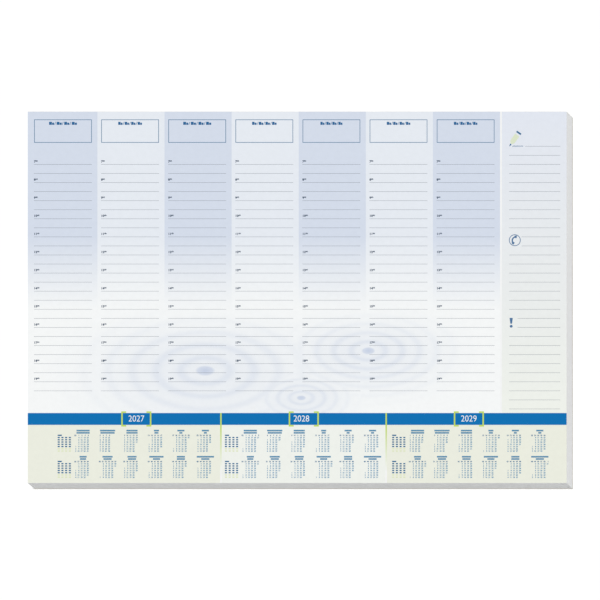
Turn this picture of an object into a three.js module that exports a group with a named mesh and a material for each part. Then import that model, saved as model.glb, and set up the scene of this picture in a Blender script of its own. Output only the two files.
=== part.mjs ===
// A tear-off desk pad: a block of paper leaves on a grey board, held together along its head edge by a film of
// padding glue. The right, left and front edges are open, so that the top leaf tears off at the head.
// Millimetres, +X along the writing width, +Y towards the head edge, +Z up. The origin is the centre of the
// footprint, on the desk.
import * as THREE from "three";

// The cut size of the pad, which the board keeps exactly
const PAD_WIDTH = 595;
const PAD_DEPTH = 410;

// The leaves: one for each week of a year, of 80 g/m² paper with the air that stays between two of them
const LEAF_COUNT = 53;
const LEAF_THICKNESS = 0.11;
// The knife draws each leaf a little as it cuts, so its front edge stands back from the cut by up to this much
const LEAF_SETBACK = 0.12;

const BOARD_THICKNESS = 1;

// The glue is brushed over the head edge and dries to a skin with soft long edges
const GLUE_THICKNESS = 0.4;
const GLUE_EDGE_RADIUS = 0.3;

const BLOCK_HEIGHT = LEAF_COUNT * LEAF_THICKNESS;
const PAD_HEIGHT = BOARD_THICKNESS + BLOCK_HEIGHT;
const FRONT_Y = -PAD_DEPTH / 2;
const HEAD_Y = PAD_DEPTH / 2;

const paper = new THREE.MeshStandardMaterial({ name: "uncoated_paper", color: 0xf1f4f6, roughness: 0.9 });
const greyboard = new THREE.MeshStandardMaterial({ name: "greyboard", color: 0xd6d4cd, roughness: 0.95 });
const padding_glue = new THREE.MeshStandardMaterial({ name: "padding_glue", color: 0xe6e5df, roughness: 0.5 });

// Every piece is one section, drawn as (Y, Z) seen from the left end, and carried across the whole pad
function across_the_pad(name, section, material) {
  const geometry = new THREE.ExtrudeGeometry(section, {
    depth: PAD_WIDTH,
    bevelEnabled: false,
    curveSegments: 8,
  });
  geometry.applyMatrix4(
    new THREE.Matrix4().makeBasis(
      new THREE.Vector3(0, 1, 0),
      new THREE.Vector3(0, 0, 1),
      new THREE.Vector3(1, 0, 0),
    ),
  );
  const piece = new THREE.Mesh(geometry, material);
  piece.name = name;
  piece.position.x = -PAD_WIDTH / 2;
  return piece;
}

// How far the front edge of a leaf stands back from the cut. Steps of the golden ratio spread evenly, and never
// bring two neighbouring leaves to the same line.
function setback(leaf) {
  const golden_ratio = (1 + Math.sqrt(5)) / 2;
  const step = (leaf + 1) * golden_ratio;
  return LEAF_SETBACK * (step - Math.floor(step));
}

// The leaves are flush at the head, where they were knocked up and glued, and a fine comb at the front. The
// section goes up the comb from the board, one leaf after another, and comes back down the head.
function sheet_block() {
  const section = new THREE.Shape();
  section.moveTo(HEAD_Y, BOARD_THICKNESS);
  for (let leaf = 0; leaf < LEAF_COUNT; leaf += 1) {
    const front = FRONT_Y + setback(leaf);
    section.lineTo(front, BOARD_THICKNESS + leaf * LEAF_THICKNESS);
    section.lineTo(front, BOARD_THICKNESS + (leaf + 1) * LEAF_THICKNESS);
  }
  section.lineTo(HEAD_Y, PAD_HEIGHT);
  section.closePath();
  return across_the_pad("sheet_block", section, paper);
}

function backing_board() {
  const section = new THREE.Shape();
  section.moveTo(FRONT_Y, 0);
  section.lineTo(HEAD_Y, 0);
  section.lineTo(HEAD_Y, BOARD_THICKNESS);
  section.lineTo(FRONT_Y, BOARD_THICKNESS);
  section.closePath();
  return across_the_pad("backing_board", section, greyboard);
}

// The skin of glue lies flat against the leaves and the board, and is rounded where it thins out above and below
function head_glue() {
  const centre_y = HEAD_Y + GLUE_THICKNESS - GLUE_EDGE_RADIUS;
  const section = new THREE.Shape();
  section.moveTo(HEAD_Y, 0);
  section.lineTo(centre_y, 0);
  section.absarc(centre_y, GLUE_EDGE_RADIUS, GLUE_EDGE_RADIUS, -Math.PI / 2, 0);
  section.lineTo(HEAD_Y + GLUE_THICKNESS, PAD_HEIGHT - GLUE_EDGE_RADIUS);
  section.absarc(centre_y, PAD_HEIGHT - GLUE_EDGE_RADIUS, GLUE_EDGE_RADIUS, 0, Math.PI / 2);
  section.lineTo(HEAD_Y, PAD_HEIGHT);
  section.closePath();
  return across_the_pad("head_glue", section, padding_glue);
}

// The glue widens the footprint at the head only, so half of it brings the origin back to the centre
const desk_pad = new THREE.Group();
desk_pad.position.y = -GLUE_THICKNESS / 2;
desk_pad.add(backing_board(), sheet_block(), head_glue());

export default desk_pad;
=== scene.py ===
"""Dresses the desk pad: the printed top leaf, the cut edges, the greyboard, the padding glue, the studio.

The print is laid out in page lengths: x runs to the right from the leaf's left edge, y runs down from its
head edge. Tints and soft fields are the leaf's own material. Everything crisp is a thin film of ink on it.
"""

import datetime
import math
from typing import NamedTuple

import bpy
import numpy as np
from bpy.props import FloatProperty, FloatVectorProperty, IntProperty, PointerProperty
from mathutils import Matrix, Vector


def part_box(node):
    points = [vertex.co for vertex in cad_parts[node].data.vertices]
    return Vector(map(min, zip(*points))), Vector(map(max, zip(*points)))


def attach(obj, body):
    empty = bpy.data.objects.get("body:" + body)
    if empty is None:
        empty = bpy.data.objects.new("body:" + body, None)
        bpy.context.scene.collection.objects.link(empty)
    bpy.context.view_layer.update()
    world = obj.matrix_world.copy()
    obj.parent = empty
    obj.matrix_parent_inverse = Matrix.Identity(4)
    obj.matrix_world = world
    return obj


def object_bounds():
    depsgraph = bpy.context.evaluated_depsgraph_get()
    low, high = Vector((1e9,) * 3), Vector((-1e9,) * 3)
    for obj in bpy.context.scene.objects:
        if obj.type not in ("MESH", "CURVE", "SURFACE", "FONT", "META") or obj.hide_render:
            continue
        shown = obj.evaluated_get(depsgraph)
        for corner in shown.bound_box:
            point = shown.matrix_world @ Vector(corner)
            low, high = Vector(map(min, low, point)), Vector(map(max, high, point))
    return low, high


bl_info = {
    "name": "Paper desk pad",
    "version": (1, 0, 0),
    "blender": (4, 5, 0),
    "location": "3D Viewport > Sidebar > Desk pad",
    "description": "Prints and finishes a tear-off desk pad on its own solids",
    "category": "Object",
}

MM = 0.001

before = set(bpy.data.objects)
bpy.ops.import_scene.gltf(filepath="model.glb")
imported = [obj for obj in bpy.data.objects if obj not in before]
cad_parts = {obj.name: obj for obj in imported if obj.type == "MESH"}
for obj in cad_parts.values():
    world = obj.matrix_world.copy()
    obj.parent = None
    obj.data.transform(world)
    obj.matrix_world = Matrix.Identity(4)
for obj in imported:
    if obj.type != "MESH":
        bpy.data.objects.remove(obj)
CAD_LOW, CAD_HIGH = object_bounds()

# The board keeps the exact cut size, and the leaves lie on it with their heads in line with its head
CUT_LOW, CUT_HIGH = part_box("backing_board")
PAGE_WIDTH = CUT_HIGH.x - CUT_LOW.x
PAGE_DEPTH = CUT_HIGH.y - CUT_LOW.y
PAGE_LEFT = CUT_LOW.x
PAGE_HEAD = CUT_HIGH.y
PAGE_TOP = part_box("sheet_block")[1].z


def linear(code):
    """The linear colour of an sRGB hex code: the low end is divided by 12.92, the rest is a power of 2.4."""
    parts = [int(code[at : at + 2], 16) / 255 for at in (1, 3, 5)]
    return tuple(c / 12.92 if c <= 0.04045 else ((c + 0.055) / 1.055) ** 2.4 for c in parts)


def number(name, description, default, kind=FloatProperty, **limits):
    return kind(name=name, description=description, default=default, **limits)


def length(name, description, millimetres):
    return number(name, description, millimetres * MM, precision=5, subtype="DISTANCE", unit="LENGTH")


def angle(name, description, degrees):
    return number(name, description, math.radians(degrees), subtype="ANGLE", unit="ROTATION")


def quantity(name, description, count):
    return number(name, description, count, IntProperty, min=1)


def colour(name, description, code):
    return number(name, description, linear(code), FloatVectorProperty, min=0, max=1, subtype="COLOR")


class DESKPAD_PG_tints(bpy.types.PropertyGroup):
    """The soft fields of the print, the bare paper, and the painted shade between the leaves"""

    paper: colour("Paper", "Unprinted white offset paper", "#F5F6F6")
    odd_day: colour("Odd day", "Tint of the first, third, fifth and seventh day", "#D5DDEB")
    even_day: colour("Even day", "Tint of the days between them", "#E7ECF3")
    day_foot: colour("Foot of a day", "What the tint of a day fades to", "#F7F9F9")
    fade_start: length("Fade start", "Depth at which the day tints begin to fade", 137)
    fade_end: length("Fade end", "Depth at which they are gone", 219)
    notes_head: colour("Notes, head", "Tint at the head of the notes column", "#E3E8F2")
    notes_middle: colour("Notes, middle", "Tint half way down it", "#EAEDEE")
    notes_foot: colour("Notes, foot", "Tint at its foot", "#F0F3EC")
    notes_gap: length("Gap before the notes", "Pale strip between the days and the notes", 2)
    ripple: colour("Ripple", "Soft rings behind the afternoon hours", "#C9D3E6")
    side_year: colour("Outer years", "Ground of the first and third calendar", "#ECEEE1")
    middle_year: colour("Middle year", "Ground of the second calendar", "#F0F3ED")
    # Painted shade: the darkness in the gaps between the cut edges of the leaves, given as a colour on the
    # edges
    leaf_shade: colour("Leaf shade", "Shade between the cut edges of the leaves", "#D6D7D6")


class DESKPAD_PG_layout(bpy.types.PropertyGroup):
    """Where the print stands on the page"""

    day_count: quantity("Days", "Day columns side by side", 7)
    margin: length("Margin", "Bleed to the left of the first day column", 2.8)
    day_pitch: length("Day pitch", "Width of one day column", 74.1)
    line_start: length("Line start", "From a day column's left side to its lines", 4)
    line_length: length("Line length", "Length of a day's lines", 64)
    line_head: length("First line", "Depth of the first ruled line of the notes", 38.2)
    line_pitch: length("Line pitch", "Distance between two ruled lines", 10)
    line_width: length("Line width", "Width of a ruled line", 0.27)
    note_lines: quantity("Note lines", "Ruled lines in the notes", 30)
    day_lines: quantity("Day lines", "Ruled lines in a day", 26)
    lines_above: quantity("Lines above", "Note lines above the first line of a day", 2)
    note_start: length("Note start", "From the notes' left side to their lines", 10)
    note_length: length("Note length", "Length of a note line", 56.4)
    box_head: length("Box head", "Depth of the top side of the date boxes", 8.9)
    box_depth: length("Box depth", "Height of a date box", 25)
    box_width: length("Box width", "Width of a date box", 63)
    box_line: length("Box line", "Width of a date box's outline", 0.6)
    bar_head: length("Bar head", "Depth of the year bar's upper side", 332.7)
    bar_depth: length("Bar depth", "Height of the year bar", 13.1)
    year_centre: length("First year", "Middle of the first year's brackets", 119.9)
    year_pitch: length("Year pitch", "Distance between two years", 183.6)
    bracket_half: length("Bracket", "From the middle of a year to its brackets", 15.8)
    bracket_foot: length("Bracket foot", "How far a bracket's feet turn in", 4.6)
    bracket_rise: length("Bracket rise", "How far a bracket stands out of the bar", 1)
    bracket_line: length("Bracket line", "Width of a bracket's stroke", 1.6)
    divider_first: length("First divider", "From the left edge to the first divider", 213.3)
    divider_pitch: length("Divider pitch", "Distance between the two dividers", 182.5)
    month_centre: length("First month", "Middle of the first calendar's first month", 61.1)
    month_pitch: length("Month pitch", "Distance between two months", 27)
    calendar_pitch: length("Calendar pitch", "Distance between two years' calendars", 184.65)
    calendar_head: length("Calendar head", "Depth of the first row of week numbers", 357.3)
    half_year: length("Half year", "From one row of months to the next", 28.9)
    week_pitch: length("Week pitch", "Distance between two weeks in a month", 3.45)
    weekday_pitch: length("Weekday pitch", "Distance between two weekdays in a month", 2.48)


class DESKPAD_PG_inks(bpy.types.PropertyGroup):
    """The printing inks"""

    film: length("Ink film", "Height of one film of ink, drawn thicker than a real one", 0.02)
    rule: colour("Rule ink", "Grey of the ruled lines", "#6E7682")
    box: colour("Box ink", "Slate blue of the date boxes", "#3E7096")
    type: colour("Type ink", "Dark slate of the small numerals", "#26405A")
    bar: colour("Bar ink", "Blue of the year bar", "#0D6FB1")
    bracket: colour("Bracket ink", "Yellow green of brackets and dividers", "#BFD75C")
    day_mark: colour("Day mark ink", "Dark blue of the marks in the date boxes", "#2A6494")
    date: colour("Date ink", "Clear blue of the calendar dates", "#2A80AC")
    week: colour("Week ink", "Slate blue of the week numbers and weekday marks", "#2F6890")
    title: colour("Title ink", "Teal blue of the month titles", "#3A80A8")
    weekend: colour("Weekend ink", "Pale green of the weekend marks", "#DCE3BE")
    pencil: colour("Pencil ink", "Pale green of the pencil", "#DAE3C8")
    sign: colour("Sign ink", "Blue of the telephone and the exclamation mark", "#4F749B")


class DESKPAD_PG_studio(bpy.types.PropertyGroup):
    """Lamp, world and camera"""

    world_level: number("World level", "Light from all round, where 1 shows a colour as it is", 0.36)
    key_level: number("Key level", "Light of the key lamp on the page, on the same scale", 0.62)
    key_right: angle("Key to the right", "Turn of the lamp from straight above to the right", 18)
    key_front: angle("Key to the front", "Turn of the lamp from straight above to the front", 7)
    key_softness: angle("Key softness", "Angle that the lamp fills", 25)
    floor_half: length("Floor", "Half the side of the floor", 40000)
    view_width: length("View width", "Width of the picture at the page", 662.5)
    view_right: length("View right", "Middle of the picture, from the page's left edge", 300.6)
    view_down: length("View down", "Middle of the picture, from the page's head edge", 207.9)
    lens: number("Lens", "Focal length", 500, unit="CAMERA")
    right_slant: number("Right slant", "Drawn width of the right edge, for each unit of its height", 1.09)
    front_slant: number("Front slant", "Drawn depth of the front edge, for each unit of its height", 1.03)


class DESKPAD_PG_settings(bpy.types.PropertyGroup):
    """All settings of the desk pad"""

    tints: PointerProperty(type=DESKPAD_PG_tints)
    layout: PointerProperty(type=DESKPAD_PG_layout)
    inks: PointerProperty(type=DESKPAD_PG_inks)
    studio: PointerProperty(type=DESKPAD_PG_studio)


def pad():
    """All settings, as the scene holds them."""
    return bpy.context.scene.deskpad


class Flat(NamedTuple):
    """A flat shape of print: its points on the page and its triangles."""

    points: np.ndarray
    triangles: np.ndarray


def band(one_side, other_side):
    """The strip between two lines of as many points: each pair of neighbours makes two triangles."""
    count = len(one_side)
    near = np.arange(count - 1)
    far = near + count
    triangles = [np.stack([near, near + 1, far + 1], 1), np.stack([near, far + 1, far], 1)]
    return Flat(np.concatenate([one_side, other_side]), np.concatenate(triangles))


def rectangle(left, head, right, foot):
    """The strip between its upper and its lower side."""
    return band(np.array([(left, head), (right, head)]), np.array([(left, foot), (right, foot)]))


def stroke(path, width, closed=False):
    """A line of ink: each point of the path is moved to both sides by half the width.

    The way out is the mean of the normals of the two stretches that meet there, longer by one over the
    cosine of half the turn: corners are mitred. The width is one number or one for each point.
    """
    path = np.asarray(path, float)
    if closed:
        path = np.concatenate([path[-1:], path, path[:2]])
    run = np.diff(path, axis=0)
    run /= np.linalg.norm(run, axis=1, keepdims=True)
    normal = np.stack([-run[:, 1], run[:, 0]], 1)
    before = np.concatenate([normal[:1], normal])
    after = np.concatenate([normal, normal[-1:]])
    out = (before + after) / (1 + (before * after).sum(1, keepdims=True))
    out *= np.reshape(width, (-1, 1)) / 2
    one_side, other_side = path + out, path - out
    if closed:
        return band(one_side[1:-1], other_side[1:-1])
    return band(one_side, other_side)


def disc(centre, radius, steps=32):
    """A round spot: each point of its circle is joined with the next one and the middle."""
    rim = circle(centre, radius, steps)
    here = np.arange(steps)
    triangles = np.stack([here, (here + 1) % steps, np.full(steps, steps)], 1)
    return Flat(np.concatenate([rim, [centre]]), triangles)


def circle(centre, radius, steps):
    """Points all round a circle, the last one a step short of the first."""
    return arc(centre, radius, 0, 360 - 360 / steps, steps)


def arc(centre, radius, start, end, steps):
    """Points on a circle between two angles in degrees, which grow clockwise from the right."""
    turn = np.radians(np.linspace(start, end, steps))
    return np.asarray(centre) + radius * np.stack([np.cos(turn), np.sin(turn)], 1)


def repeat(flat, places):
    """Copies of a flat shape: its points are added to each place, and each copy's triangles count on."""
    places = np.asarray(places, float).reshape(-1, 2)
    points = (places[:, None] + flat.points[None]).reshape(-1, 2)
    first = np.arange(len(places))[:, None, None] * len(flat.points)
    return Flat(points, (flat.triangles[None] + first).reshape(-1, 3))


def join(flats):
    """Several flat shapes as one."""
    counts = np.cumsum([0] + [len(flat.points) for flat in flats[:-1]])
    points = np.concatenate([flat.points for flat in flats])
    return Flat(points, np.concatenate([flat.triangles + n for flat, n in zip(flats, counts)]))


class Face(NamedTuple):
    """One size and weight of numerals: a flat shape for each digit, and the step to the next."""

    digits: dict
    advance: float


EM_ADVANCE = 0.5  # all digits of the type share this width, as a share of its nominal size


def numerals(height, weight, squeeze=1, curve_steps=2):
    """Digits of a plain sans serif, scaled until the figure one has the height asked for."""
    shapes = {digit: digit_shape(digit, weight, curve_steps) for digit in "0123456789"}
    scale = height / np.ptp(shapes["1"].points[:, 1])
    grow = np.array([scale * squeeze, scale])
    digits = {digit: Flat(flat.points * grow, flat.triangles) for digit, flat in shapes.items()}
    return Face(digits, EM_ADVANCE * scale * squeeze)


def digit_shape(digit, weight, curve_steps):
    """One digit in page directions, its foot at zero: weight moves its outline out by a share of its size.

    Points that fall together are merged, and triangles that lose a side by that are left out.
    """
    curve = bpy.data.curves.new("digit", "FONT")
    curve.body = digit
    curve.offset = weight
    curve.resolution_u = curve_steps
    curve.fill_mode = "FRONT"
    holder = bpy.data.objects.new("digit", curve)
    mesh = bpy.data.meshes.new_from_object(holder)
    mesh.calc_loop_triangles()
    points = np.zeros(len(mesh.vertices) * 3)
    triangles = np.zeros(len(mesh.loop_triangles) * 3, int)
    mesh.vertices.foreach_get("co", points)
    mesh.loop_triangles.foreach_get("vertices", triangles)
    bpy.data.objects.remove(holder)
    bpy.data.curves.remove(curve)
    bpy.data.meshes.remove(mesh)
    points = np.round(points.reshape(-1, 3)[:, :2] * (1, -1), 4)
    points, place = np.unique(points, axis=0, return_inverse=True)
    triangles = place.reshape(-1)[triangles].reshape(-1, 3)
    ahead = np.roll(triangles, 1, axis=1)
    return Flat(points, triangles[(triangles != ahead).all(1)])


def typeset(lines, face):
    """Numbers on the page, each given as its digits, its left end and the depth of its foot."""
    places = {digit: [] for digit in face.digits}
    for text, left, foot in lines:
        for step, digit in enumerate(text):
            places[digit].append((left + step * face.advance, foot))
    return join([repeat(face.digits[digit], where) for digit, where in places.items() if where])


def ink_piece(name, flats, material, films=1):
    """A closed film of ink on the leaf.

    Triangles that face down are turned over. The flat shape is then the upper side, a copy turned over is the
    lower side, and each edge that only one triangle has gets a wall of two triangles.
    """
    if not flats:
        raise RuntimeError(f"{name} has nothing to print")
    flat = join(flats)
    x = PAGE_LEFT + flat.points[:, 0]
    y = PAGE_HEAD - flat.points[:, 1]
    a, b, c = flat.triangles.T
    turn = (x[b] - x[a]) * (y[c] - y[a]) - (x[c] - x[a]) * (y[b] - y[a])
    upper = np.where(turn[:, None] < 0, flat.triangles[:, ::-1], flat.triangles)
    count = len(x)
    edges = np.concatenate([upper[:, [0, 1]], upper[:, [1, 2]], upper[:, [2, 0]]])
    there = edges[:, 0] * count + edges[:, 1]
    back = edges[:, 1] * count + edges[:, 0]
    start, end = edges[~np.isin(there, back)].T
    faces = [
        upper,
        upper[:, ::-1] + count,
        np.stack([start + count, end + count, end], 1),
        np.stack([start + count, end, start], 1),
    ]
    film = pad().inks.film
    high = np.stack([x, y, np.full(count, PAGE_TOP + films * film)], 1)
    low = np.stack([x, y, np.full(count, PAGE_TOP)], 1)
    piece = mesh_piece(name, np.concatenate([high, low]), np.concatenate(faces), material)
    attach(piece, "root")


def mesh_piece(name, points, faces, material):
    """An object whose mesh is filled from an array of points and an array of triangles or quads."""
    corners = faces.shape[1]
    mesh = bpy.data.meshes.new(name)
    mesh.vertices.add(len(points))
    mesh.vertices.foreach_set("co", points.ravel())
    mesh.loops.add(faces.size)
    mesh.loops.foreach_set("vertex_index", faces.ravel())
    mesh.polygons.add(len(faces))
    mesh.polygons.foreach_set("loop_start", np.arange(len(faces)) * corners)
    mesh.update(calc_edges=True)
    mesh.shade_flat()
    mesh.materials.append(material)
    piece = bpy.data.objects.new(name, mesh)
    bpy.context.scene.collection.objects.link(piece)
    return piece


def finish_node(name, material):
    """Gives a solid of the frame its material."""
    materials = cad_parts[name].data.materials
    materials.clear()
    materials.append(material)


def add(tree, kind, sockets=None, **settings):
    """Adds one node: settings are its own, and sockets maps its inputs to a value, an output or a node.

    A node stands for its first output in use. A colour is red, green and blue, and gets its alpha here.
    """
    made = tree.nodes.new(kind)
    for name, value in settings.items():
        setattr(made, name, value)
    for name, value in (sockets or {}).items():
        socket = made.inputs[name]
        if isinstance(value, bpy.types.Node):
            value = next(out for out in value.outputs if out.enabled)
        if isinstance(value, bpy.types.NodeSocket):
            tree.links.new(value, socket)
        elif socket.type == "RGBA":
            socket.default_value = (*value, 1)
        else:
            socket.default_value = value
    return made


def emptied(owner):
    """The node tree of a material or a world, with nothing in it."""
    owner.use_nodes = True
    owner.node_tree.nodes.clear()
    return owner.node_tree


def new_material(name):
    """A material without nodes, its tree, and the place on the object, which all its patterns read."""
    material = bpy.data.materials.new(name)
    tree = emptied(material)
    return material, tree, add(tree, "ShaderNodeTexCoord").outputs["Object"]


def surface(material, shade, values, relief=()):
    """Gives a material its shader: its shade, other values, and a relief as height, strength and depth."""
    tree = material.node_tree
    sockets = {"Base Color": shade, **values}
    if relief:
        bumps = dict(zip(("Height", "Strength", "Distance"), relief))
        sockets["Normal"] = add(tree, "ShaderNodeBump", bumps)
    add(tree, "ShaderNodeOutputMaterial", {"Surface": add(tree, "ShaderNodeBsdfPrincipled", sockets)})
    return material


def layered(tree, ground, layers):
    """Colours laid over one another on a ground, each as strongly as its factor says."""
    for factor, tint in layers:
        ground = add(tree, "ShaderNodeMix", {"Factor": factor, "A": ground, "B": tint}, data_type="RGBA")
    return ground


# Nearly all values of a noise lie between these two
NOISE_LOW = 0.3
NOISE_HIGH = 0.7

INK_TOOTH = 0.5 * MM
INK_RELIEF = (0.15, 0.02 * MM)  # strength and depth, as in all reliefs
INK_ROUGHNESS = 0.62
# Between fibres the ink lies thinner: by how much it is paler there, and how much of that shows at most
THIN_INK = 1.3
THIN_SHARE = 0.2


def offset_ink(name, shade):
    """Offset ink on uncoated paper: it sinks in and dries matt, and the paper's tooth breaks its colour.

    The tooth is drawn every 0.5 mm, five times as coarse as real fibres, so that it shows.
    """
    material, tree, place = new_material(name)
    tooth = {"Vector": place, "Scale": 1 / INK_TOOTH, "Detail": 3, "Roughness": 0.6}
    fibres = add(tree, "ShaderNodeTexNoise", tooth)
    span = {"Value": fibres, "From Min": NOISE_LOW, "From Max": NOISE_HIGH, "To Max": THIN_SHARE}
    level = add(tree, "ShaderNodeMapRange", span)
    thin = [min(1, THIN_INK * part) for part in shade]
    values = {"Roughness": INK_ROUGHNESS, "Specular IOR Level": 0.03}
    return surface(material, layered(tree, shade, [(level, thin)]), values, (fibres, *INK_RELIEF))


def fading_ink(name, shade, ground, start, end):
    """The same ink printed as a tint that runs out into the ground down the page."""
    material, tree, place = new_material(name)
    y = add(tree, "ShaderNodeSeparateXYZ", {"Vector": place}).outputs["Y"]
    span = {"Value": y, "From Min": PAGE_HEAD - start, "From Max": PAGE_HEAD - end}
    faded = add(tree, "ShaderNodeMapRange", span)
    values = {"Roughness": INK_ROUGHNESS, "Specular IOR Level": 0.1}
    return surface(material, layered(tree, shade, [(faded, ground)]), values)


class Ripple(NamedTuple):
    """Rings on still water: the middle, how far they reach and their pitch, in millimetres."""

    across: float
    down: float
    reach: float
    pitch: float


RIPPLES = (Ripple(196, 286, 190, 27), Ripple(376, 264, 135, 19), Ripple(302, 316, 85, 13))
RIPPLE_FLATTEN = 1.9  # the rings are drawn lower than wide, as seen from the side
RING_STRENGTH = 0.24
GLOW_STRENGTH = 0.26
DROP_STRENGTH = 0.5
DROP_EDGE = (0.3, 0.42)  # where the drop in the middle ends, in shares of the pitch
RIPPLE_HEAD_MM = (195, 262)  # where they come out of the white below the day tints


def one_ripple(tree, place, ripple):
    """The strength of one ripple at each place.

    The offset from its middle is stretched down the page and its length taken as the radius. A ring is half
    of one plus the cosine of the radius over the pitch in full turns, squared, so that crests are narrow.
    Rings and a glow fade out smoothly towards the reach, and the drop in the middle is solid.
    """
    pitch = ripple.pitch * MM
    middle = (PAGE_LEFT + ripple.across * MM, PAGE_HEAD - ripple.down * MM, PAGE_TOP)
    offset = place
    for operation, other in (("SUBTRACT", middle), ("MULTIPLY", (1, RIPPLE_FLATTEN, 0))):
        offset = add(tree, "ShaderNodeVectorMath", {0: offset, 1: other}, operation=operation)
    radius = add(tree, "ShaderNodeVectorMath", {0: offset}, operation="LENGTH")
    rings = radius
    for operation, one, two in (
        ("MULTIPLY", 2 * math.pi / pitch, 0),
        ("COSINE", 0, 0),
        ("MULTIPLY_ADD", 0.5, 0.5),
        ("POWER", 2, 0),
        ("MULTIPLY_ADD", RING_STRENGTH, GLOW_STRENGTH),
    ):
        rings = add(tree, "ShaderNodeMath", {0: rings, 1: one, 2: two}, operation=operation)
    parts = [rings]
    for near, far, strength, kind in (
        (pitch, ripple.reach * MM, 1, "SMOOTHSTEP"),
        (DROP_EDGE[0] * pitch, DROP_EDGE[1] * pitch, DROP_STRENGTH, "LINEAR"),
    ):
        span = {"Value": radius, "From Min": near, "From Max": far, "To Min": strength, "To Max": 0}
        parts.append(add(tree, "ShaderNodeMapRange", span, interpolation_type=kind))
    return add(tree, "ShaderNodeMath", dict(enumerate(parts)), operation="MULTIPLY_ADD")


def leaf_ripples(tree, place, depth):
    """The strength of the ripple tint: at each place the strongest ripple, below the day tints."""
    strongest, *others = [one_ripple(tree, place, ripple) for ripple in RIPPLES]
    for other in others:
        strongest = add(tree, "ShaderNodeMath", {0: strongest, 1: other}, operation="MAXIMUM")
    head, foot = RIPPLE_HEAD_MM
    span = {"Value": depth, "From Min": head * MM, "From Max": foot * MM}
    shown = add(tree, "ShaderNodeMapRange", span, interpolation_type="SMOOTHSTEP")
    return add(tree, "ShaderNodeMath", {0: strongest, 1: shown}, operation="MULTIPLY", use_clamp=True)


# Where the notes reach their second and their third tint, in shares of the page's depth
NOTES_MIDDLE = 0.42
NOTES_FOOT = 0.8


def leaf_print(tree, place, across, depth):
    """The colour of the printed face.

    A day's number is the distance from the margin over the pitch, rounded down. Its remainder by two picks
    the tint, which fades down the page. The notes fade through three tints, and the years have two grounds.
    """
    tints = pad().tints
    layout = pad().layout
    even_day = across
    for operation, value in (
        ("SUBTRACT", layout.margin),
        ("DIVIDE", layout.day_pitch),
        ("MAXIMUM", 0),
        ("FLOOR", 0),
        ("MODULO", 2),
    ):
        even_day = add(tree, "ShaderNodeMath", {0: even_day, 1: value}, operation=operation)
    off_middle = across
    half_way = layout.divider_first + layout.divider_pitch / 2
    for operation, value in (("SUBTRACT", half_way), ("ABSOLUTE", 0)):
        off_middle = add(tree, "ShaderNodeMath", {0: off_middle, 1: value}, operation=operation)

    fades = []
    middle, foot = NOTES_MIDDLE * PAGE_DEPTH, NOTES_FOOT * PAGE_DEPTH
    for start, end in ((tints.fade_start, tints.fade_end), (0, middle), (middle, foot)):
        span = {"Value": depth, "From Min": start, "From Max": end}
        fades.append(add(tree, "ShaderNodeMapRange", span))
    day_fade, upper_fade, lower_fade = fades

    borders = []
    for value, limit in (
        (across, notes_left()),
        (across, notes_left() + tints.notes_gap),
        (off_middle, layout.divider_pitch / 2),
        (depth, layout.bar_head + layout.bar_depth / 2),
    ):
        borders.append(add(tree, "ShaderNodeMath", {0: value, 1: limit}, operation="GREATER_THAN"))
    past_days, in_notes, outer_year, below_bar = borders

    ripples = leaf_ripples(tree, place, depth)
    note_layers = [(upper_fade, tints.notes_middle), (lower_fade, tints.notes_foot)]
    notes = layered(tree, tints.notes_head, note_layers)
    years = layered(tree, tints.middle_year, [(outer_year, tints.side_year)])
    layers = [
        (even_day, tints.even_day),
        (day_fade, tints.day_foot),
        (ripples, tints.ripple),
        (past_days, tints.paper),
        (in_notes, notes),
        (below_bar, years),
    ]
    return layered(tree, tints.odd_day, layers)


SHOWN_LEAF = 0.55 * MM
GAP_START = 0.6  # where the gap above a shown leaf begins, as a share of the leaf
# The painted shade of the gaps between leaves comes and goes over 80 mm along the edge, and 0.6 mm up it
EDGE_STREAK = (1 / (80 * MM), 1 / (80 * MM), 1 / (0.6 * MM))


def leaf_edges(tree, place, height):
    """The colour of the cut edges, with painted shade for the gaps: height over the pitch of shown leaves,
    its fraction darkened at the top.

    Real leaves are 0.11 mm thick. One line of painted shade stands for five of them, so that the stack can be
    seen.
    """
    tints = pad().tints
    within = height
    for operation, value in (("DIVIDE", SHOWN_LEAF), ("FRACT", 0)):
        within = add(tree, "ShaderNodeMath", {0: within, 1: value}, operation=operation)
    span = {"Value": within, "From Min": GAP_START}
    gap = add(tree, "ShaderNodeMapRange", span, interpolation_type="SMOOTHSTEP")
    stretched = add(tree, "ShaderNodeMapping", {"Vector": place, "Scale": EDGE_STREAK})
    streaks = add(tree, "ShaderNodeTexNoise", {"Vector": stretched, "Scale": 1, "Detail": 2})
    painted_shade_strength = add(tree, "ShaderNodeMath", {0: gap, 1: streaks}, operation="MULTIPLY")
    # The painted shade of the gaps, laid over the paper as strongly as each gap is open
    return layered(tree, tints.paper, [(painted_shade_strength, tints.leaf_shade)])


PAPER_CLOUD = 6 * MM
PAPER_FIBRE = 0.4 * MM
PAPER_RELIEF = (0.2, 0.02 * MM)
# How far below its top the material still counts as the printed face
FACE_DEPTH = 0.02 * MM


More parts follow.
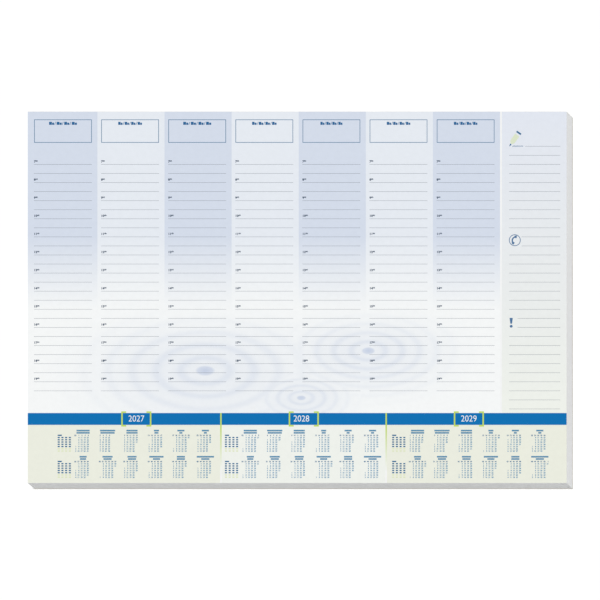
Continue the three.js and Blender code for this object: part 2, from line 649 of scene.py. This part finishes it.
def printed_paper():
    """Uncoated white offset paper of 80 g/m2, calendered: matt, with a faint cloud where fibres lie denser.

    The clouds are 6 mm across, as in real paper. The fibres, drawn every 0.4 mm, are four times too coarse.
    """
    material, tree, place = new_material("printed_offset_paper")
    x, y, z = add(tree, "ShaderNodeSeparateXYZ", {"Vector": place}).outputs
    across, depth, height = (
        add(tree, "ShaderNodeMath", {0: one, 1: other}, operation="SUBTRACT")
        for one, other in ((x, PAGE_LEFT), (PAGE_HEAD, y), (z, CUT_HIGH.z))
    )
    on_face = add(tree, "ShaderNodeMath", {0: z, 1: PAGE_TOP - FACE_DEPTH}, operation="GREATER_THAN")
    edges = leaf_edges(tree, place, height)
    bare = layered(tree, edges, [(on_face, leaf_print(tree, place, across, depth))])
    clouds = add(tree, "ShaderNodeTexNoise", {"Vector": place, "Scale": 1 / PAPER_CLOUD, "Detail": 2})
    span = {"From Min": NOISE_LOW, "From Max": NOISE_HIGH, "To Min": 0.99, "To Max": 1.01}
    cloudy = add(tree, "ShaderNodeMapRange", {"Value": clouds, **span})
    shaded = add(tree, "ShaderNodeVectorMath", {0: bare, "Scale": cloudy}, operation="SCALE")
    felt = {"Vector": place, "Scale": 1 / PAPER_FIBRE, "Detail": 4, "Roughness": 0.7}
    fibres = add(tree, "ShaderNodeTexNoise", felt)
    values = {"Roughness": 0.85, "Specular IOR Level": 0.2}
    return surface(material, shaded, values, (fibres, *PAPER_RELIEF))


BOARD_FLECK = 1.2 * MM
BOARD_FIBRE = 0.5 * MM
BOARD_RELIEF = (0.4, 0.05 * MM)


def greyboard():
    """Greyboard from waste paper, pressed in layers: dull light grey with darker and paler flecks.

    Flecks are 1.2 mm apart, fibres 0.5 mm.
    """
    material, tree, place = new_material("recycled_greyboard")
    flecks = add(tree, "ShaderNodeTexVoronoi", {"Vector": place, "Scale": 1 / BOARD_FLECK, "Randomness": 1})
    span = {"From Min": 0.08, "From Max": 0.2, "To Min": 0.5, "To Max": 0}
    dark = add(tree, "ShaderNodeMapRange", {"Value": flecks, **span})
    pulp = {"Vector": place, "Scale": 1 / BOARD_FIBRE, "Detail": 4, "Roughness": 0.65}
    fibres = add(tree, "ShaderNodeTexNoise", pulp)
    shade = layered(tree, linear("#D6D4CD"), [(fibres, linear("#E6E4DE")), (dark, linear("#B4B1A8"))])
    values = {"Roughness": 0.92, "Specular IOR Level": 0.15}
    return surface(material, shade, values, (fibres, *BOARD_RELIEF))


# The brush's streaks run along the edge, 40 mm long and 0.9 mm apart up the edge
GLUE_STREAK = (1 / (40 * MM), 1 / (1 * MM), 1 / (0.9 * MM))
GLUE_RELIEF = (0.5, 0.1 * MM)


def padding_glue():
    """Dispersion glue brushed on along the head and dried: a milky satin skin with the brush's streaks."""
    material, tree, place = new_material("dried_padding_glue")
    drawn = add(tree, "ShaderNodeMapping", {"Vector": place, "Scale": GLUE_STREAK})
    streaks = add(tree, "ShaderNodeTexNoise", {"Vector": drawn, "Scale": 1, "Detail": 3})
    milky = layered(tree, linear("#E2E1DA"), [(streaks, linear("#F2F1EC"))])
    values = {"Roughness": 0.38, "IOR": 1.47, "Coat Weight": 0.2}
    return surface(material, milky, values, (streaks, *GLUE_RELIEF))


class DESKPAD_OT_stock(bpy.types.Operator):
    """Finishes the leaves, the board and the glue"""

    bl_idname = "deskpad.stock"
    bl_label = "Paper, board and glue"

    def execute(self, context):
        finish_node("sheet_block", printed_paper())
        finish_node("backing_board", greyboard())
        finish_node("head_glue", padding_glue())
        return {"FINISHED"}


# How much further in the note lines start that a sign stands beside: the pencil, the telephone, the mark
SIGN_INDENTS_MM = {0: 17.7, 10: 13.7, 11: 13.7, 19: 9.3, 20: 9.3}


class DESKPAD_OT_ruling(bpy.types.Operator):
    """Prints the ruled lines of the days and the notes, and the date boxes"""

    bl_idname = "deskpad.ruling"
    bl_label = "Ruled lines and boxes"

    def execute(self, context):
        layout = pad().layout
        inks = pad().inks
        half = layout.line_width / 2
        lines = []
        for number in range(layout.note_lines):
            depth = layout.line_head + number * layout.line_pitch
            left = notes_left() + layout.note_start
            start = left + SIGN_INDENTS_MM.get(number, 0) * MM
            lines.append(rectangle(start, depth - half, left + layout.note_length, depth + half))
        for day in range(layout.day_count):
            left = day_left(day) + layout.line_start
            for number in range(layout.day_lines):
                depth = layout.line_head + (layout.lines_above + number) * layout.line_pitch
                lines.append(rectangle(left, depth - half, left + layout.line_length, depth + half))
        ink_piece("ruled_lines", lines, offset_ink("rule_ink", inks.rule))

        head, foot = layout.box_head, layout.box_head + layout.box_depth
        boxes = []
        for day in range(layout.day_count):
            left = day_left(day) + layout.line_start + layout.box_line
            right = left + layout.box_width
            corners = [(left, head), (right, head), (right, foot), (left, foot)]
            boxes.append(stroke(corners, layout.box_line, closed=True))
        ink_piece("date_boxes", boxes, offset_ink("box_ink", inks.box))
        return {"FINISHED"}


def day_left(day):
    """The left side of a day column. The first one's tint also fills the margin."""
    layout = pad().layout
    return layout.margin + day * layout.day_pitch


def notes_left():
    """The right side of the last day column."""
    layout = pad().layout
    return layout.margin + layout.day_count * layout.day_pitch


# A row of marks in a date box: pairs of blocks, each of a height and width, with a slash between two pairs
DAY_MARK_MM = ((3.3, 3.0), (2.4, 2.1))
DAY_MARKS = 4
DAY_MARK_PITCH_MM = 8.1
DAY_MARK_GAP_MM = 0.3
DAY_MARK_FOOT_MM = 14.5
DAY_SLASH_MM = ((0.7, 0), (1.7, -3.3))
DAY_SLASH_WIDTH_MM = 0.5
# Widths of the row in each day's box
DAY_ROW_WIDTHS_MM = (30.7, 26.2, 30.9, 27.0, 24.3, 25.9, 25.9)
FIRST_HOUR = 7
HOUR_COUNT = 13
LINES_AN_HOUR = 2
HOUR_HEIGHT_MM = 2.5
MINUTE_HEIGHT_MM = 1.6
HOUR_LIFT_MM = 2.15
# The hours are set a little wider than the plain digits
HOUR_SQUEEZE = 1.12
# Ink spreads into the paper, which makes small numerals bolder by this share of their size
SMALL_WEIGHT = 0.04
BOLD_WEIGHT = 0.045


class DESKPAD_OT_days(bpy.types.Operator):
    """Prints a row of plain marks in each date box, and the hours of each day"""

    bl_idname = "deskpad.days"
    bl_label = "Day marks and hours"

    def execute(self, context):
        layout = pad().layout
        inks = pad().inks
        mark_width = sum(width for _, width in DAY_MARK_MM) + DAY_MARK_GAP_MM
        row_width = (DAY_MARKS - 1) * DAY_MARK_PITCH_MM + mark_width
        marks = []
        for day in range(layout.day_count):
            middle = day_left(day) + layout.line_start + layout.box_line + layout.box_width / 2
            fitted = DAY_ROW_WIDTHS_MM[day % len(DAY_ROW_WIDTHS_MM)] / row_width * MM
            for pair in range(DAY_MARKS):
                left = middle + (pair * DAY_MARK_PITCH_MM - row_width / 2) * fitted
                for height, width in DAY_MARK_MM:
                    head = (DAY_MARK_FOOT_MM - height) * MM
                    marks.append(rectangle(left, head, left + width * fitted, DAY_MARK_FOOT_MM * MM))
                    left += (width + DAY_MARK_GAP_MM) * fitted
                if pair < DAY_MARKS - 1:
                    foot = np.array((left - DAY_MARK_GAP_MM * fitted, DAY_MARK_FOOT_MM * MM))
                    marks.append(stroke(foot + np.array(DAY_SLASH_MM) * MM, DAY_SLASH_WIDTH_MM * MM))
        ink_piece("day_marks", marks, offset_ink("day_mark_ink", inks.day_mark))

        hour_face = numerals(HOUR_HEIGHT_MM * MM, SMALL_WEIGHT, HOUR_SQUEEZE)
        minute_face = numerals(MINUTE_HEIGHT_MM * MM, SMALL_WEIGHT, HOUR_SQUEEZE)
        hours, minutes = [], []
        for day in range(layout.day_count):
            left = day_left(day) + layout.line_start
            for count in range(HOUR_COUNT):
                hour = str(FIRST_HOUR + count)
                line = layout.lines_above + LINES_AN_HOUR * count
                foot = layout.line_head + line * layout.line_pitch - HOUR_LIFT_MM * MM
                hours.append((hour, left, foot))
                minute_left = left + len(hour) * hour_face.advance
                minute_foot = foot - (HOUR_HEIGHT_MM - MINUTE_HEIGHT_MM) * MM
                minutes.append(("00", minute_left, minute_foot))
        flats = [typeset(hours, hour_face), typeset(minutes, minute_face)]
        ink_piece("hour_numerals", flats, offset_ink("type_ink", inks.type))
        return {"FINISHED"}


YEARS = (2027, 2028, 2029)
YEAR_HEIGHT_MM = 6.6
YEAR_WEIGHT = -0.004
YEAR_SQUEEZE = 0.91
# How far the numerals stand above the middle of the bar
YEAR_LIFT_MM = 0.45
# The middle year's brackets stand a little to the right of the even spacing, and its numerals to the left
BRACKET_SHIFTS_MM = (0, 1.3, 0)
NUMERAL_SHIFTS_MM = (0, -1.3, 0)
# How far above the foot of the page the dividers end, and where they have faded
DIVIDER_END_MM = 0.2
DIVIDER_FADE_MM = 12


class DESKPAD_OT_years(bpy.types.Operator):
    """Prints the blue bar, the brackets, the dividers and the three years"""

    bl_idname = "deskpad.years"
    bl_label = "Year bar"

    def execute(self, context):
        layout = pad().layout
        inks = pad().inks
        tints = pad().tints
        bar_foot = layout.bar_head + layout.bar_depth
        bar = rectangle(0, layout.bar_head, PAGE_WIDTH, bar_foot)
        ink_piece("year_bar", [bar], offset_ink("bar_ink", inks.bar))

        head, foot = layout.bar_head - layout.bracket_rise, bar_foot + layout.bracket_rise
        face = numerals(YEAR_HEIGHT_MM * MM, YEAR_WEIGHT, YEAR_SQUEEZE, curve_steps=4)
        brackets, years = [], []
        for count, year in enumerate(YEARS):
            middle = layout.year_centre + count * layout.year_pitch
            for side in (-1, 1):
                post = middle + BRACKET_SHIFTS_MM[count] * MM + side * layout.bracket_half
                toe = post - side * layout.bracket_foot
                path = [(toe, head), (post, head), (post, foot), (toe, foot)]
                brackets.append(stroke(path, layout.bracket_line))
            text = str(year)
            left = middle + NUMERAL_SHIFTS_MM[count] * MM - len(text) * face.advance / 2
            numeral_foot = layout.bar_head + (layout.bar_depth + YEAR_HEIGHT_MM * MM) / 2
            years.append((text, left, numeral_foot - YEAR_LIFT_MM * MM))
        ink_piece("year_brackets", brackets, offset_ink("bracket_ink", inks.bracket), films=2)
        white = offset_ink("reversed_white", tints.paper)
        ink_piece("year_numerals", [typeset(years, face)], white, films=2)

        half = layout.bracket_line / 2
        end = PAGE_DEPTH - DIVIDER_END_MM * MM
        dividers = []
        for count in range(len(YEARS) - 1):
            middle = layout.divider_first + count * layout.divider_pitch
            dividers.append(rectangle(middle - half, layout.bar_head, middle + half, end))
        faded = PAGE_DEPTH - DIVIDER_FADE_MM * MM
        ink = fading_ink("divider_ink", inks.bracket, tints.paper, bar_foot, faded)
        ink_piece("year_dividers", dividers, ink, films=2)
        return {"FINISHED"}


MONTHS_A_ROW = 6
WEEKS_A_MONTH = 6
DATE_HEIGHT_MM = 1.6
# Widths of the two lines of marks over each month, from January on
TITLE_WIDTHS_MM = (
    *((14.8, 14.8), (16.6, 15.6), (12, 11.8), (6, 4), (7.8, 3.2), (7.8, 3)),
    *((7.7, 6.6), (11.5, 8.8), (9.6, 8.6), (15.6, 7.8), (9, 8.4), (18.5, 9)),
)
TITLE_LIFTS_MM = (5.2, 2.7)
TITLE_HEIGHT_MM = 1.75
TITLE_LETTER_MM = 1.0
TITLE_LETTER_GAP_MM = 0.12
WEEKDAYS = 7
WORKDAYS = 5
# The weekday marks to the left of the first month
LABEL_COLUMNS = 4
LABEL_SHIFT_MM = 26.9
LABEL_PITCH_MM = 4.1
LABEL_SIZE_MM = (2.3, 1.4)
LABEL_HEADING_MM = 4.6


def month_place(year_count, month):
    """The middle of a month and the depth of its week numbers."""
    layout = pad().layout
    row, column = divmod(month - 1, MONTHS_A_ROW)
    middle = layout.month_centre + year_count * layout.calendar_pitch + column * layout.month_pitch
    return middle, layout.calendar_head + row * layout.half_year


def month_numbers(year, month, middle, head, face):
    """The dates and week numbers of one month, with the weeks to the right and the weekdays down."""
    layout = pad().layout
    first = datetime.date(year, month, 1)
    first_column = middle - (WEEKS_A_MONTH - 1) / 2 * layout.week_pitch
    half_height = DATE_HEIGHT_MM * MM / 2
    dates, weeks = [], []
    day = first
    while day.month == month:
        week = (day.day + first.weekday() - 1) // WEEKDAYS
        right = first_column + week * layout.week_pitch + face.advance
        foot = head + (day.weekday() + 1) * layout.weekday_pitch + half_height
        dates.append((str(day.day), right - len(str(day.day)) * face.advance, foot))
        if day == first or day.weekday() == 0:
            number = str(day.isocalendar().week)
            weeks.append((number, right - len(number) * face.advance, head + half_height))
        day += datetime.timedelta(days=1)
    return dates, weeks


def title_marks(month, middle, head):
    """Two lines of letter-sized blocks over a month."""
    marks = []
    step = (TITLE_LETTER_MM + TITLE_LETTER_GAP_MM) * MM
    for width, lift in zip(TITLE_WIDTHS_MM[month - 1], TITLE_LIFTS_MM):
        count = max(1, round(width * MM / step))
        left = middle - (count * step - TITLE_LETTER_GAP_MM * MM) / 2
        foot = head - (lift - TITLE_HEIGHT_MM / 2) * MM
        letter = rectangle(0, -TITLE_HEIGHT_MM * MM, TITLE_LETTER_MM * MM, 0)
        marks.append(repeat(letter, [(left + n * step, foot) for n in range(count)]))
    return marks


def weekday_marks(first_middle, head):
    """Blocks for the weekdays: those of working days with a longer one as heading, and of the weekend."""
    layout = pad().layout
    width, height = (size * MM for size in LABEL_SIZE_MM)
    mark = rectangle(-width / 2, -height / 2, width / 2, height / 2)
    left = first_middle - LABEL_SHIFT_MM * MM
    rows = [head + (row + 1) * layout.weekday_pitch for row in range(WEEKDAYS)]
    columns = [left + column * LABEL_PITCH_MM * MM for column in range(LABEL_COLUMNS)]
    working = repeat(mark, [(x, y) for x in columns for y in rows[:WORKDAYS]])
    weekend = repeat(mark, [(x, y) for x in columns for y in rows[WORKDAYS:]])
    heading = rectangle(-width / 2, -height / 2, LABEL_HEADING_MM * MM - width / 2, height / 2)
    return [working, repeat(heading, [(left, head)])], [weekend]


class DESKPAD_OT_calendars(bpy.types.Operator):
    """Prints the calendar of each year: dates, week numbers, month titles and weekday marks"""

    bl_idname = "deskpad.calendars"
    bl_label = "Calendars"

    def execute(self, context):
        inks = pad().inks
        date_ink = offset_ink("date_ink", inks.date)
        week_ink = offset_ink("week_ink", inks.week)
        face = numerals(DATE_HEIGHT_MM * MM, SMALL_WEIGHT)
        bold_face = numerals(DATE_HEIGHT_MM * MM, BOLD_WEIGHT)
        titles, labels, weekends = [], [], []
        for count, year in enumerate(YEARS):
            dates, weeks = [], []
            for month in range(1, 13):
                middle, head = month_place(count, month)
                month_dates, month_weeks = month_numbers(year, month, middle, head, face)
                dates += month_dates
                weeks += month_weeks
                titles += title_marks(month, middle, head)
                if month % MONTHS_A_ROW == 1:
                    working, weekend = weekday_marks(middle, head)
                    labels += working
                    weekends += weekend
            ink_piece(f"calendar_dates_{count + 1}", [typeset(dates, face)], date_ink)
            ink_piece(f"calendar_weeks_{count + 1}", [typeset(weeks, bold_face)], week_ink)
        ink_piece("month_marks", titles, offset_ink("title_ink", inks.title))
        ink_piece("weekday_marks", labels, week_ink)
        ink_piece("weekend_marks", weekends, offset_ink("weekend_ink", inks.weekend))
        return {"FINISHED"}


# The signs beside the notes, in millimetres from the page's left and head edges
PENCIL_TIP_MM = (531.9, 38.0)
PENCIL_END_MM = (542.7, 22.6)
PENCIL_WIDTH_MM = 5.8
# Lead, body and cap: places along the pencil and the width at each, in shares of its length and width
PENCIL_PARTS = (
    ((0, 0.15), (0.1, 0.32)),
    ((0.17, 0.32, 0.8), (0.36, 0.95, 1)),
    ((0.9, 1), (1, 1)),
)
# Start, end and depth of the line that it draws
SCRIBBLE_MM = (535.2, 547.0, 38.0)
SCRIBBLE_WAVES = 8
SCRIBBLE_LINE_MM = 0.45
PHONE_CENTRE_MM = (537.8, 141.9)
PHONE_RING_MM = 6.1
PHONE_LINE_MM = 0.75
RING_STEPS = 36
GRIP_CENTRE_MM = (539.2, 142.35)
GRIP_RADIUS_MM = 4.2
GRIP_ENDS = (-80, -236)  # in degrees
# Widths in the middle of the handset and at its ends, which begin at a share of half its length
GRIP_WIDTHS_MM = (1.5, 2.8)
GRIP_MIDDLE = 0.62
GRIP_STEPS = 25
# The wedge: its place, half its width at head and foot, and its height. The dot: depth and radius
MARK_CENTRE_MM = (533.8, 227.7)
WEDGE_MM = (1.8, 0.9, 6.4)
DOT_MM = (9.2, 1.55)


def pencil():
    """A pencil from tip to end: the lead, the sharpened and painted body, and a cap across the end."""
    tip, end = np.array(PENCIL_TIP_MM) * MM, np.array(PENCIL_END_MM) * MM
    return [
        stroke(tip + np.outer(places, end - tip), np.array(widths) * PENCIL_WIDTH_MM * MM)
        for places, widths in PENCIL_PARTS
    ]


def scribble():
    """A hand's wavy line: a sine whose height falls by half towards its end."""
    start, end, depth = (value * MM for value in SCRIBBLE_MM)
    line = SCRIBBLE_LINE_MM * MM
    share = np.linspace(0, 1, 8 * SCRIBBLE_WAVES + 1)
    rise = line * (1 - 0.5 * share) * np.sin(2 * math.pi * SCRIBBLE_WAVES * share)
    return stroke(np.stack([start + share * (end - start), depth + rise], 1), line)


def telephone():
    """A handset in a ring: an arc whose stroke is thick at the ear and the mouth and thin at the grip."""
    rim = circle(np.array(PHONE_CENTRE_MM) * MM, PHONE_RING_MM * MM, RING_STEPS)
    grip = arc(np.array(GRIP_CENTRE_MM) * MM, GRIP_RADIUS_MM * MM, *GRIP_ENDS, GRIP_STEPS)
    off_middle = np.abs(np.linspace(-1, 1, GRIP_STEPS))
    thin, thick = GRIP_WIDTHS_MM
    width = np.where(off_middle > GRIP_MIDDLE, thick, thin) * MM
    return [stroke(rim, PHONE_LINE_MM * MM, closed=True), stroke(grip, width)]


def exclamation_mark():
    """A wedge over a dot."""
    middle = np.array(MARK_CENTRE_MM)
    head, foot, height = WEDGE_MM
    depth, radius = DOT_MM
    upper = middle + np.array([(-head, 0), (head, 0)])
    lower = middle + np.array([(-foot, height), (foot, height)])
    return [band(upper * MM, lower * MM), disc((middle + (0, depth)) * MM, radius * MM)]


class DESKPAD_OT_signs(bpy.types.Operator):
    """Prints the pencil, the telephone and the exclamation mark beside the notes"""

    bl_idname = "deskpad.signs"
    bl_label = "Signs beside the notes"

    def execute(self, context):
        inks = pad().inks
        lead, body, cap = pencil()
        ink_piece("pencil_lead", [lead, cap, scribble()], offset_ink("lead_ink", inks.week))
        ink_piece("pencil_body", [body], offset_ink("pencil_ink", inks.pencil))
        ink_piece("notes_signs", telephone() + exclamation_mark(), offset_ink("sign_ink", inks.sign))
        return {"FINISHED"}


def seen_directly(tree):
    """One for rays from the camera, off mirrors and through glass, and nothing for all others."""
    ray = add(tree, "ShaderNodeLightPath")
    seen = ray.outputs["Is Camera Ray"]
    for kind in ("Is Glossy Ray", "Is Transmission Ray"):
        seen = add(tree, "ShaderNodeMath", {0: seen, 1: ray.outputs[kind]}, operation="ADD", use_clamp=True)
    return seen


STUDIO_WHITE = (0.8, 0.8, 0.8)
# A little light of the floor's own, so that it shows as full white
FLOOR_GLOW = 0.04


def white_floor():
    """A matt white floor: full white to the camera, mirrors and glass, studio white to diffuse light."""
    material = bpy.data.materials.new("studio_floor")
    tree = emptied(material)
    seen = seen_directly(tree)
    diffuse = add(tree, "ShaderNodeBsdfDiffuse", {"Color": layered(tree, STUDIO_WHITE, [(seen, (1, 1, 1))])})
    strength = add(tree, "ShaderNodeMath", {0: seen, 1: FLOOR_GLOW}, operation="MULTIPLY")
    glow = add(tree, "ShaderNodeEmission", {"Strength": strength})
    both = add(tree, "ShaderNodeAddShader", {0: diffuse, 1: glow})
    add(tree, "ShaderNodeOutputMaterial", {"Surface": both})
    return material


def white_world(level):
    """An even world: white to the camera, mirrors and glass, and at its level to everything else."""
    world = bpy.data.worlds.new("studio")
    tree = emptied(world)
    strength = add(tree, "ShaderNodeMapRange", {"Value": seen_directly(tree), "To Min": level, "To Max": 1})
    background = add(tree, "ShaderNodeBackground", {"Color": (1, 1, 1), "Strength": strength})
    add(tree, "ShaderNodeOutputWorld", {"Surface": background})
    bpy.context.scene.world = world


def oblique_camera(studio):
    """The camera of an oblique picture: the page true, and its right and front edges slanting away.

    A view camera takes it with its film parallel to the page. Two axes lie along the page, the third along
    the line of sight: a shear, which no turn holds, so it is kept in the link to the camera's holder.
    """
    data = bpy.data.cameras.new("camera")
    data.lens = studio.lens
    camera = bpy.data.objects.new("camera", data)
    holder = bpy.data.objects.new("camera_holder", None)
    for thing in (camera, holder):
        bpy.context.scene.collection.objects.link(thing)
    back = Vector((studio.right_slant, -studio.front_slant, 1)).normalized()
    distance = studio.view_width * data.lens / data.sensor_width
    target = Vector((PAGE_LEFT + studio.view_right, PAGE_HEAD - studio.view_down, PAGE_TOP))
    place = target + back * distance
    camera.parent = holder
    camera.matrix_parent_inverse = Matrix(
        ((1, 0, back.x, place.x), (0, 1, back.y, place.y), (0, 0, back.z, place.z), (0, 0, 0, 1))
    )
    data.clip_start = distance / 100
    data.clip_end = distance * 100
    bpy.context.scene.camera = camera


class DESKPAD_OT_stage(bpy.types.Operator):
    """Sets up the floor, the light and the camera"""

    bl_idname = "deskpad.stage"
    bl_label = "Studio"

    def execute(self, context):
        studio = pad().studio
        half = studio.floor_half
        corners = np.array([(-half, -half), (half, -half), (half, half), (-half, half)])
        points = np.column_stack([corners, np.full(4, CAD_LOW.z)])
        mesh_piece("floor", points, np.array([(0, 1, 2, 3)]), white_floor())
        white_world(studio.world_level)

        # A sun that falls square on white paper at strength pi shows it as white
        lamp = bpy.data.lights.new("key", "SUN")
        lamp.energy = math.pi * studio.key_level / (math.cos(studio.key_right) * math.cos(studio.key_front))
        lamp.angle = studio.key_softness
        key = bpy.data.objects.new("key", lamp)
        key.rotation_euler = (studio.key_front, studio.key_right, 0)
        context.scene.collection.objects.link(key)

        oblique_camera(studio)
        context.scene.view_settings.view_transform = "Standard"
        return {"FINISHED"}


class DESKPAD_PT_sidebar(bpy.types.Panel):
    """Lists the steps in their order"""

    bl_idname = "DESKPAD_PT_sidebar"
    bl_label = "Desk pad"
    bl_space_type = "VIEW_3D"
    bl_region_type = "UI"
    bl_category = "Desk pad"

    def draw(self, context):
        for step in STEPS:
            self.layout.operator(step.bl_idname)


STEPS = (
    DESKPAD_OT_stage,
    DESKPAD_OT_stock,
    DESKPAD_OT_ruling,
    DESKPAD_OT_days,
    DESKPAD_OT_years,
    DESKPAD_OT_calendars,
    DESKPAD_OT_signs,
)
GROUPS = (
    DESKPAD_PG_tints,
    DESKPAD_PG_layout,
    DESKPAD_PG_inks,
    DESKPAD_PG_studio,
    DESKPAD_PG_settings,
)


def register():
    for one in (*GROUPS, *STEPS, DESKPAD_PT_sidebar):
        bpy.utils.register_class(one)
    bpy.types.Scene.deskpad = PointerProperty(type=DESKPAD_PG_settings)


def unregister():
    del bpy.types.Scene.deskpad
    for one in reversed((*GROUPS, *STEPS, DESKPAD_PT_sidebar)):
        bpy.utils.unregister_class(one)


def main():
    register()
    for step in STEPS:
        group, name = step.bl_idname.split(".")
        getattr(getattr(bpy.ops, group), name)()


if __name__ == "__main__":
    main()
